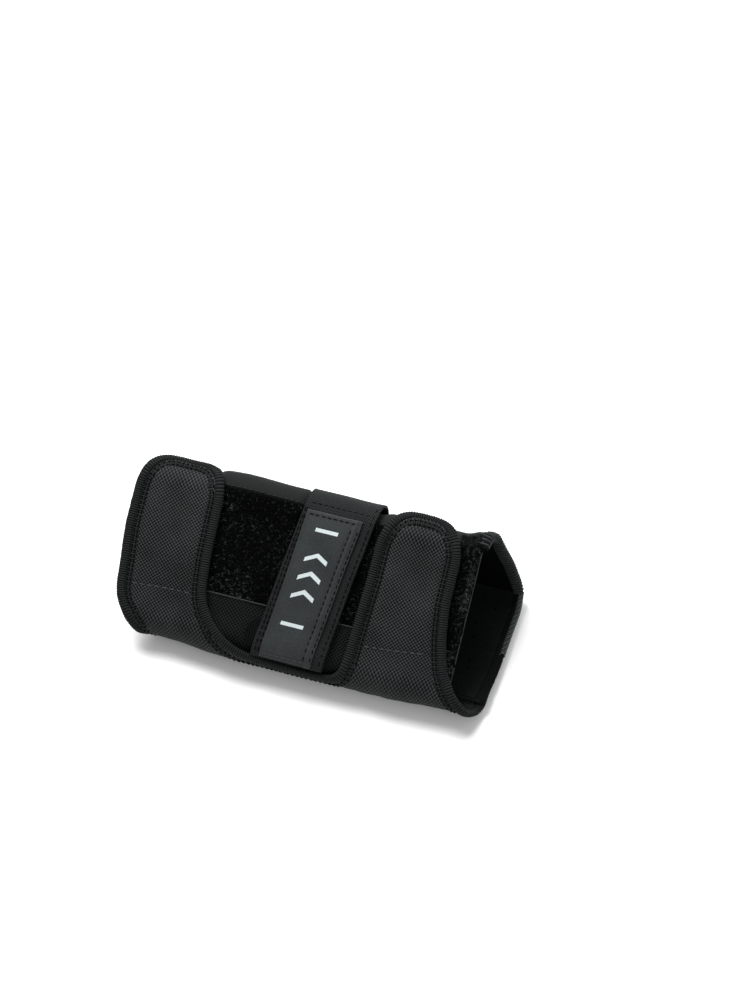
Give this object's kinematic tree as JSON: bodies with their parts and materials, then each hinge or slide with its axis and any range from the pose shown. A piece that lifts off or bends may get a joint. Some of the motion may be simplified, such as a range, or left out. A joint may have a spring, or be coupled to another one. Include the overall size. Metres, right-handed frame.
{
  "type": "snowboard wrist guard",
  "caption": "Left wrist guard: a wrapped neoprene sleeve with palm splint pocket, thumb hole, two hook-and-loop flaps and an elastic wrist strap.",
  "frame": {"origin": "centre of the guard's box in X and Y, on the plane the palm splint pocket rests on", "axes": "+X from the fingers to the forearm, +Y towards the thumb side, +Z from the palm to the back of the hand"},
  "size_m": [0.215, 0.0932, 0.065],
  "materials": {
    "neoprene": "matte",
    "fleece_lining": "matte brushed",
    "nylon_weave": "woven satin",
    "side_twill": "woven matte",
    "loop_pile": "fuzzy matte",
    "hook_tape": "fine bristle",
    "binding_tape": "ribbed matte",
    "elastic_webbing": "woven matte",
    "strap_label": "woven satin",
    "splint_plastic": "satin"
  },
  "bodies": {
    "sleeve": {"palm_panel": "neoprene", "thumb_gusset": "neoprene", "dorsal_lining": "fleece_lining", "dorsal_splint": "splint_plastic", "loop_panel": "loop_pile", "dorsal_nylon_band": "nylon_weave", "dorsal_hand_binding": "binding_tape", "dorsal_edge_binding": "binding_tape", "palm_splint_pocket": "side_twill", "palm_splint": "splint_plastic", "pocket_binding": "binding_tape", "side_panel": "side_twill", "valley_binding": "binding_tape", "hand_side_binding": "binding_tape", "forearm_side_binding": "binding_tape", "hand_end_binding": "binding_tape", "forearm_end_binding": "binding_tape", "thumb_hole_binding": "binding_tape", "strap_anchor": "elastic_webbing"},
    "hand_closure": {"hand_flap": "nylon_weave", "hand_flap_binding": "binding_tape", "hand_hook_patch": "hook_tape"},
    "forearm_closure": {"forearm_flap": "nylon_weave", "forearm_flap_binding": "binding_tape", "forearm_hook_patch": "hook_tape"},
    "wrist_strap": {"strap_elastic": "elastic_webbing", "strap_tab": "nylon_weave", "strap_label": "strap_label", "strap_hook_patch": "hook_tape"}
  },
  "joints": [
    {"name": "hand_flap_peel", "type": "hinge", "parent": "sleeve", "child": "hand_closure", "pos_m": [-0.08134, -0.03832, 0.02649], "axis": [1, 0, 0], "range_deg": [0, 140]},
    {"name": "forearm_flap_peel", "type": "hinge", "parent": "sleeve", "child": "forearm_closure", "pos_m": [0.04991, -0.03832, 0.02649], "axis": [1, 0, 0], "range_deg": [0, 140]},
    {"name": "strap_peel", "type": "hinge", "parent": "sleeve", "child": "wrist_strap", "pos_m": [0.00541, 0.04632, 0.05277], "axis": [-1, 0, 0], "range_deg": [0, 150]}
  ]
}
